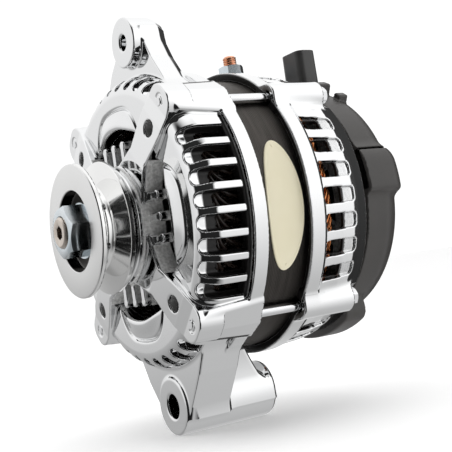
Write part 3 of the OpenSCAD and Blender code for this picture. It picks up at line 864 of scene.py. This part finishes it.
def build_rear_cover():
    def field(p):
        body = rounded(p.r - 66, p.y - COVER_END, 15.0)
        # The hump for the regulator lies along its own direction.
        turn = radians(10.5)
        out = p.x * cos(turn) + p.z * sin(turn)
        side = p.z * cos(turn) - p.x * sin(turn)
        hump = rounded(np.maximum(p.r - 70.4, 38 - out), p.y - 153.5, 9.0)
        hump = smax(smax(hump, side - 14.6, 13.0), -13.5 - side, 2.5)
        side = np.abs(side) - 13.5
        body = smin(body, hump, 3.4)
        inner = rounded(p.r - 63.4, p.y - (COVER_END - 2.6), 13.0)
        inner_hump = np.maximum(rounded(p.r - 68.0, p.y - 151, 7.0), side + 2.4)
        inner_hump = np.maximum(inner_hump, 38 - out)
        inner = np.minimum(inner, inner_hump)
        for x, z in COVER_NUTS:
            well = np.maximum(p.off(x, z) - 8.4, 145.5 - p.y)
            inner = np.maximum(inner, -well)
        body = np.maximum(body, 128.3 - p.y)
        body = cut(body, inner, 0.6)
        # Lower lobe and clip lugs.
        lean = wrap(p.angle, radians(-78), pi, 1)
        lobe = rounded(np.abs(p.r * np.sin(lean)) - 25.0, p.r - 76.4, 5.0)
        lobe = np.maximum(lobe, np.abs(lean) - 1.0)
        lobe = smax(lobe, np.maximum(between(p.y, 124.2, 139), 63.8 - p.r), 2.0)
        lobe = np.maximum(lobe, -np.maximum(p.r - 72, p.y - 128.3))
        body = smin(body, lobe, 1.6)
        for degrees, tip, half, y0, y1 in ((64, 73.0, 3, 131, 141), (57, 69.0, 2.5, 142, 148)):
            angle = radians(degrees)
            far = p.x * cos(angle) + p.z * sin(angle)
            wide = np.abs(p.z * cos(angle) - p.x * sin(angle)) - half
            lug = rounded(np.maximum(far - tip, 60 - far), np.maximum(wide, between(p.y, y0, y1)), 1.0)
            body = smin(body, lug, 1.2)
        socket = rounded(np.abs(p.x - SOCKET[0]) - SOCKET_HALF[0] - 0.5,
                         np.abs(p.y - SOCKET[1]) - SOCKET_HALF[1] - 0.5, 4.5)
        body = cut(body, np.maximum(socket, 40 - p.z), 0.6)
        for x, z in COVER_NUTS:
            d = p.off(x, z)
            body = cut(body, np.maximum(d - 6.2, 148.5 - p.y), 1.2)
            body = np.maximum(body, 2.6 - d)
        spread = np.abs(p.r * np.sin(wrap(p.angle, radians(7.5), radians(15), 24))) - 1.5
        slots = rounded(spread, np.abs(p.r - 23.5) - 6.5, 1.4)
        return cut(body, np.maximum(slots, 145 - p.y), 0.9)

    step = 0.75
    obj = field_mesh("terminal_cover", field, (-78, 122, -79), (78, 157, 78), step, 0.3)
    place(obj, "rear_cover", COVER, "cover_plastic")


def build_socket():
    """Rectangular shroud with rounded corners and a slight taper, a mouth open at the top and three slits
    for the pins.
    """
    def field(p):
        x, y = np.abs(p.x - SOCKET[0]), np.abs(p.y - SOCKET[1])
        taper = 0.008 * (p.z - 66)
        body = rounded(x - SOCKET_HALF[0] + taper, y - SOCKET_HALF[1] + taper, 4.2)
        body = smax(body, np.maximum(p.z - SOCKET_Z, 56 - p.z), 0.6)
        mouth = rounded(x - SOCKET_HALF[0] + 1.6, y - SOCKET_HALF[1] + 1.6, 2.6)
        body = cut(body, np.maximum(mouth, SOCKET_Z - 11 - p.z), 0.5)
        pins = np.maximum(np.abs(wrap_linear(p.x - SOCKET[0], 4.0, 1)) - 0.55, y - 1.35)
        return np.maximum(body, -pins)

    obj = field_mesh("plug_shroud", field, (7, 125, 54), (30, 142, 88), 0.4, 0.15)
    place(obj, "plug_socket", SOCKET_GREY, "plug_plastic")


def wrap_linear(t, pitch, reach):
    """Offset from the nearest of a straight row of features."""
    return t - pitch * np.clip(np.round(t / pitch), -reach, reach)


# ------------------------ stator and windings

def build_stator():
    parts = Parts()
    outer = []
    for i in range(38):
        y = CORE_Y0 + (CORE_Y1 - CORE_Y0) * (i + 0.5) / 38
        outer += [(CORE_R - 0.02, y - 0.42), (CORE_R - 0.02, y + 0.32), (CORE_R - 0.1, y + 0.44)]
    outer = [(CORE_R - 0.5, CORE_Y0)] + outer + [(CORE_R - 0.5, CORE_Y1)]
    rows = []
    for slot in range(36):
        centre = radians(10 * slot)
        wide = radians(3.2) / 2
        for offset, bore in ((-0.0873, 52.5), (-wide - 1e-3, 52.5), (-wide, 64.0), (wide, 64.0),
                             (wide + 1e-3, 52.5), (0.05, 52.5)):
            angle = centre + offset
            loop = outer + [(bore, CORE_Y1), (bore, CORE_Y0)]
            rows.append([(r * cos(angle), y, r * sin(angle)) for r, y in loop])
    parts.sections(rows)
    obj = parts.build("stator_laminations", 40)
    place(obj, "stator_core", LAMINATED, "laminated_steel")


def winding(name, foot, crown, radius, node, finish, slot, notch=None):
    """Three nested crowns of hairpin turns: each rises on the outside, crosses over and returns inside.

    Turns above the axis between the notch's first two values across stay below its third.
    """
    parts = Parts()
    rise = crown - foot
    for layer, (inner, outer) in enumerate(((56.3, 58.9), (60.3, 62.7), (64.1, 66.6))):
        height = abs(rise) - radius - (2.4, 1.2, 0.0)[layer]
        for i in range(72):
            start = radians(5.0 * i + 1.2 * layer)
            path = []
            for j in range(19):
                t = j / 18
                lift = min(1.0, sin(pi * t) ** 0.55)
                swing = smoothstep(0.0, 1.0, np.array(0.1 + 0.8 * t)) if 0 < j < 18 else float(j > 0)
                angle = start + radians(30.0) * float(swing)
                r = outer + (inner - outer) * float(smoothstep(0.38, 0.62, np.array(t)))
                y = foot + copysign(height * lift, rise)
                if notch and sin(angle) > 0 and notch[0] < r * cos(angle) < notch[1]:
                    y = min(y, notch[2])
                path.append((r * cos(angle), y, r * sin(angle)))
            parts.tube(path, radius, 7)
    obj = parts.build(name, 60)
    place(obj, node, finish, slot)


def build_windings():
    winding("front_hairpins", CORE_Y0 - 0.1, 33.6, 1.15, "front_winding", VARNISH, "dark_winding")
    winding("rear_hairpins", CORE_Y1 + 0.1, 103.8, 1.15, "rear_winding", WIRE, "copper_winding",
            (-24.5, 3.0, 99.2))


# ------------------------ badge

def build_badge():
    """A blank domed oval plate bent round the stator, with a raised rim and two rivet heads."""
    half_l, half_w, lean = 32.1, 10.6, radians(-2.3)
    count = 96
    levels = [(0.0, 0.62), (0.45, 0.62), (0.86, 0.55), (0.9, 0.52), (0.925, 0.75), (0.97, 0.8),
              (0.995, 0.6), (1.0, 0.25), (1.0, 0.0), (0.0, 0.0)]
    rows = []
    for i in range(count):
        t = 2 * pi * i / count
        row = []
        for share, lift in levels:
            angle = lean + asin(half_l * share * cos(t) / (CORE_R + 0.5))
            r = CORE_R + 0.03 + lift
            y = BADGE_Y + half_w * share * sin(t) + 0.7 * share * cos(t)
            row.append((r * cos(angle), y, r * sin(angle)))
        rows.append(row)
    parts = Parts()
    parts.sections(rows)
    for end in (-1, 1):
        angle = lean + end * asin(29.2 / CORE_R)
        out = np.array((cos(angle), 0, sin(angle)))
        along = np.array((-sin(angle), 0, cos(angle)))
        ring = [(0.0, 0.95), (0.35, 0.93), (0.65, 0.84), (0.82, 0.68), (0.85, 0.4), (0.0, 0.4)]
        rows = []
        for i in range(20):
            t = 2 * pi * i / 20
            round_head = along * cos(t) + np.array((0, 1, 0)) * sin(t)
            rows.append([out * (CORE_R + lift) + r * round_head + (0, BADGE_Y, 0) for r, lift in ring])
        parts.sections(rows)
    obj = parts.build("blank_badge", 40)
    place(obj, "badge", ENAMEL, "badge_enamel")


# ------------------------ fasteners and terminals

def build_through_bolts():
    parts = Parts()
    for i in range(4):
        angle = pi / 4 + i * pi / 2
        centre = (BOLT_RING_R * cos(angle), BOLT_RING_R * sin(angle))
        steps = [20.6 + 0.25 * k for k in range(24 * 4)]
        shank = [(0.0, 20.2), (2.0, 20.2)] + [(2.5, t) for t in steps] + [(2.5, 114.4), (0.0, 114.4)]
        parts.turned(shank, 32, centre, thread(21.2, 43.0, 1.0, 0.35))
        flange = [(0.0, 114.4), (5.3, 114.4), (5.6, 114.7), (5.6, 115.1), (5.2, 115.45), (4.4, 115.7),
                  (0.0, 115.7)]
        parts.turned(flange, 48, centre)
        profile = [(0.0, 115.5), (3.6, 115.5), (1e3, 115.5), (1e3, 119.0), (3.9, 119.0), (2.6, 118.75),
                   (0.0, 118.6)]
        parts.turned(profile, 72, centre, hex_head(8.5, 115.5, 119.0, 0.3 + i))
    obj = parts.build("body_bolts")
    place(obj, "through_bolts", BOLT, "zinc_steel")


def hex_head(flats, t0, t1, turn):
    def radius(angle, r, t):
        if r < 1e2:
            return r, t
        r = hex_radius(angle, flats, turn)
        return (r, t1 - (r - flats / 2 * 0.95) * 0.6) if t == t1 else (r, t)
    return radius


def build_cover_nuts():
    parts = Parts()
    for x, z in COVER_NUTS:
        steps = [146.0 + 0.2 * k for k in range(34)]
        rod = [(0.0, 114.5), (2.3, 114.5), (2.5, 114.8), (2.5, 145.6)]
        rod += [(2.5, t) for t in steps] + [(2.1, 153.4), (0.0, 153.4)]
        parts.turned(rod, 32, (x, z), thread(145.9, 152.7, 0.8, 0.3))
        profile, radius = hex_profile(8.0, 2.52, 148.6, 152.5, 0.2, True, True)
        parts.turned(profile, 72, (x, z), radius)
    obj = parts.build("cover_fixings")
    place(obj, "cover_nuts", ZINC, "zinc_steel")


def build_output_terminal():
    x, y = STUD
    parts = Parts()
    steps = [87.0 + 0.16 * k for k in range(28)]
    rod = [(0.0, 61.5), (4.4, 61.5), (4.6, 61.7), (4.6, 63.8), (4.4, 64.0), (3.5, 64.0), (3.5, 86.7),
           (4.0, 86.85)]
    rod += [(4.0, t) for t in steps] + [(3.7, 91.6), (2.9, 92.4), (1.6, 92.7), (0.0, 92.7)]
    parts.turned(rod, 48, (x, y), thread(87.0, 91.2, 1.25, 0.5), "z")
    place(parts.build("threaded_stud"), "output_stud", COPPER, "copper")

    parts = Parts()
    profile, radius = hex_profile(13.0, 3.54, 81.1, 86.5, radians(15), True, True)
    parts.turned(profile, 96, (x, y), radius, "z")
    parts.turned(ring(3.54, 8.0, 80.05, 81.05, 0.2), 64, (x, y), None, "z")
    place(parts.build("stud_nut"), "output_nut", ZINC, "zinc_steel")

    parts = Parts()
    bush = [(3.54, 65.0), (4.95, 65.0), (4.95, 78.63), (8.6, 78.63), (8.6, 80.0), (3.54, 80.0)]
    parts.turned(bevelled(bush, 0.35), 64, (x, y), None, "z")
    place(parts.build("stud_bush"), "output_insulator", BLACK, "black_insulator")


# ------------------------ rotor

def build_pulley():
    rim, half = PULLEY_R, PULLEY_HALF_W
    profile = [
        (8.6, -2.6), (8.8, -2.8), (19.9, -2.8), (20.5, -3.1), (20.7, -3.8), (20.7, -8.7), (21.1, -9.1),
        (33.2, -9.1), (33.9, -8.9), (rim, -8.4), (rim, -7.0), (34.0, -6.5), (33.4, -6.1), (23.2, -2.6),
        (22.7, -2.2), (22.5, -1.4), (22.5, 1.4), (22.7, 2.2), (23.2, 2.6), (33.4, 6.1), (34.0, 6.5),
        (rim, 7.0), (rim, 8.4), (33.9, 8.9), (33.4, half),
        (18.0, half), (17.0, 8.4), (13.4, 8.4), (12.8, half), (8.9, half), (8.6, 8.8)]
    parts = Parts()
    parts.turned(profile, 192)
    place(parts.build("v_pulley", 24), "pulley", PULLEY, "pulley_metal", "rotor")

    parts = Parts()
    parts.turned(ring(8.6, 14.6, -5.1, -2.85, 0.3), 96)
    place(parts.build("nut_washer"), "pulley_washer", ZINC, "zinc_steel", "rotor")

    parts = Parts()
    turn = radians(12)
    profile, radius = hex_profile(24.0, 8.0, -16.0, -5.15, turn, True, False)
    parts.turned(profile, 144, (0, 0), radius)
    place(parts.build("shaft_nut"), "pulley_nut", ZINC, "zinc_steel", "rotor")

    parts = Parts()
    parts.turned(ring(8.6, 12.0, 9.15, 13.4, 0.4), 96)
    place(parts.build("hub_spacer"), "pulley_spacer", STEEL, "shaft_steel", "rotor")


def build_shaft():
    steps = [-16.4 + 0.25 * k for k in range(50)]
    profile = [(0.0, -10.5), (3.9, -10.5), (4.0, -11.0), (4.0, -17.0), (4.5, -17.4), (6.9, -17.4),
               (7.2, -17.2), (7.9, -16.5)]
    profile += [(7.9, t) for t in steps]
    profile += [(7.9, -4.0), (8.5, -3.4), (8.5, 27.6), (8.9, 28.0), (9.7, 28.0), (10, 28.3), (10, 102.7),
                (9.7, 103), (7.5, 103), (7.5, 115.7), (7.2, 116), (5, 116), (5, 137.7), (4.7, 138),
                (0.0, 138)]
    screw = thread(-16.45, -4.2, 1.5, 0.7)

    def radius(angle, r, t):
        if r in (3.9, 4.0) and t < -10:
            return hex_radius(angle, 6.4 if r == 4.0 else 6.2, 0.4), t
        return screw(angle, r, t)

    parts = Parts()
    parts.turned(profile, 96, (0, 0), radius)
    place(parts.build("rotor_shaft", 28), "shaft", SHAFT, "shaft_steel", "rotor")


def build_fan(name, node, disc, towards):
    """A pressed disc with eleven curved blades."""
    parts = Parts()
    thick = 1.6 * towards
    parts.turned(ring(10.05, 48.8, disc, disc + thick, 0.3), 96)
    for i in range(11):
        start = radians(32.7 * i)
        rows = []
        for j in range(13):
            t = j / 12
            r = 31.0 + 17.4 * t
            angle = start - towards * radians(26) * t ** 1.2
            tall = (11.0 - 1.6) * min(1.0, 0.35 + 1.6 * t) + 1.6
            radial = np.array((cos(angle), 0, sin(angle)))
            across = np.array((-sin(angle), 0, cos(angle)))
            out = radial * r
            side = (across * 0.8 + radial * 0.35 * towards) * 0.75
            low, top = np.array((0, disc + thick * 0.5, 0)), np.array((0, disc + towards * tall, 0))
            edge = side * 0.8
            rows.append([out - side + low, out + side + low, out + edge + top, out - edge + top])
        parts.sections(rows, around=False)
    obj = parts.build(name, 30)
    place(obj, node, IRON, "fan_metal", "rotor")


def build_brush_springs():
    """Wire pressure springs with closed ends."""
    for which, y in (("inner", 124.5), ("outer", 132.5)):
        low, high, wire, turns = 19.46, 25.86, 0.32, 6.5
        path = []
        for i in range(int(turns * 20) + 1):
            t = i / (turns * 20)
            angle = 2 * pi * turns * t
            rise = float(smoothstep(0.0, 1.0, np.array(t))) * 0.35 + t * 0.65
            height = low + wire + (high - low - 2 * wire) * rise
            path.append((1.75 * cos(angle), y + 1.75 * sin(angle), height))
        parts = Parts()
        parts.tube(path, wire, 8)
        obj = parts.build(which + "_brush_spring_coil", 60)
        place(obj, which + "_brush_spring", SPRING, "spring_steel")
        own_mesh(obj)


# ------------------------ stage

def build_camera():
    """The camera stands to the right of the pulley end, a little below the axis."""
    data = bpy.data.cameras.new("camera")
    data.sensor_width = 36.0
    data.lens = LENS
    data.clip_start = 0.01
    data.clip_end = 20.0
    camera = bpy.data.objects.new("camera", data)
    bpy.context.scene.collection.objects.link(camera)
    right = Vector((0.50881, 0.84844, -0.14580))
    up = Vector((0.11605, 0.10022, 0.98817))
    back = right.cross(up)
    basis = Matrix((right, up, back)).transposed().to_4x4()
    camera.matrix_world = Matrix.Translation(Vector((441.27, -188.46, -30.77)) * MM) @ basis
    bpy.context.scene.camera = camera


def area_light(name, place, target, size, power):
    data = bpy.data.lights.new(name, "AREA")
    data.shape = "RECTANGLE"
    data.size, data.size_y = size
    data.energy = power
    light = bpy.data.objects.new(name, data)
    bpy.context.scene.collection.objects.link(light)
    light.location = place
    light.visible_glossy = False
    aim = Vector(target) - Vector(place)
    light.rotation_euler = aim.to_track_quat("-Z", "Y").to_euler()


def build_world():
    """A white light tent that is open, so dark, on the camera's side."""
    world = bpy.data.worlds.new("studio")
    world.use_nodes = True
    tree = world.node_tree
    sight = tree.nodes.new("ShaderNodeTexCoord").outputs["Generated"]

    def towards(x, y, z=0.0):
        node = tree.nodes.new("ShaderNodeVectorMath")
        node.operation = "DOT_PRODUCT"
        node.inputs[1].default_value = (x, y, z)
        tree.links.new(sight, node.inputs[0])
        return Signal(tree, node.outputs["Value"])

    azimuth = radians(TENT_OPENING_AZ)
    ahead = towards(sin(azimuth), -cos(azimuth))
    rise = towards(0, 0, 1)
    across = abs(towards(cos(azimuth), sin(azimuth)) / TENT_OPENING[0])
    height = abs(rise / TENT_OPENING[1])
    reach = (across ** 4 + height ** 4) ** 0.25
    opening = reach.ramp(1.0, 0.0, 0.92, 1.08) * ahead.ramp(0.0, 1.0, 0.0, 0.1)
    tent = towards(0.853, 0.52).ramp(0.9, 1.3, -1.0, 1.0)
    tent = tent * rise.ramp(0.47, 0.88, -0.75, 0.0) + rise.ramp(0.0, 0.16, 0.0, 0.35)
    # The floor greys the lower part of the tent on the pulley side.
    low = rise.ramp(1.0, 0.0, -0.13, 0.03) * towards(-0.853, -0.52).ramp(0.0, 0.33, 0.3, 0.7)
    # Behind the part the tent ends in darkness.
    behind = towards(-0.3, 0.954).ramp(1.0, 0.04, 0.78, 0.83)
    level = tent * (1.0 - low) * behind * opening.ramp(1.0, 0.02, 0.0, 1.0)
    # The camera itself sees an even white backdrop.
    seen = Signal(tree, tree.nodes.new("ShaderNodeLightPath").outputs["Is Camera Ray"])
    background = tree.nodes["Background"]
    background.inputs["Color"].default_value = (1, 1, 1, 1)
    most(level, seen * 1.1).into(background.inputs["Strength"])
    bpy.context.scene.world = world


def build_floor():
    floor = mesh_object("floor", [(-6000, -6000, 0), (6000, -6000, 0), (6000, 6000, 0), (-6000, 6000, 0)],
                        [(0, 1, 2, 3)], smooth=False)
    floor.location.z = CAD_BOX[0][2]

    def paint(tree, shader):
        tint(shader, noise(tree, 3.0), (0.86, 0.86, 0.86), (0.88, 0.88, 0.88))
        shader.inputs["Roughness"].default_value = 0.7
        shader.inputs["Emission Color"].default_value = (1, 1, 1, 1)
        shader.inputs["Emission Strength"].default_value = 0.3

    floor.data.materials.append(material("pale_floor", paint))
    floor.visible_glossy = False


def build_stage():
    build_world()
    build_floor()
    bpy.context.scene.view_settings.view_transform = "Standard"
    area_light("key", (0.2, -0.1, 1.2), (0, 0.05, 0), (1.2, 1.2), 6)


build_front_housing()
build_rear_housing()
build_rear_cover()
build_socket()
build_stator()
build_windings()
build_badge()
build_through_bolts()
build_cover_nuts()
build_output_terminal()
build_pulley()
build_shaft()
build_fan("front_fan_wheel", "front_fan", 46.9, -1)
build_fan("rear_fan_wheel", "rear_fan", 90.1, 1)
build_brush_springs()
build_camera()
build_stage()
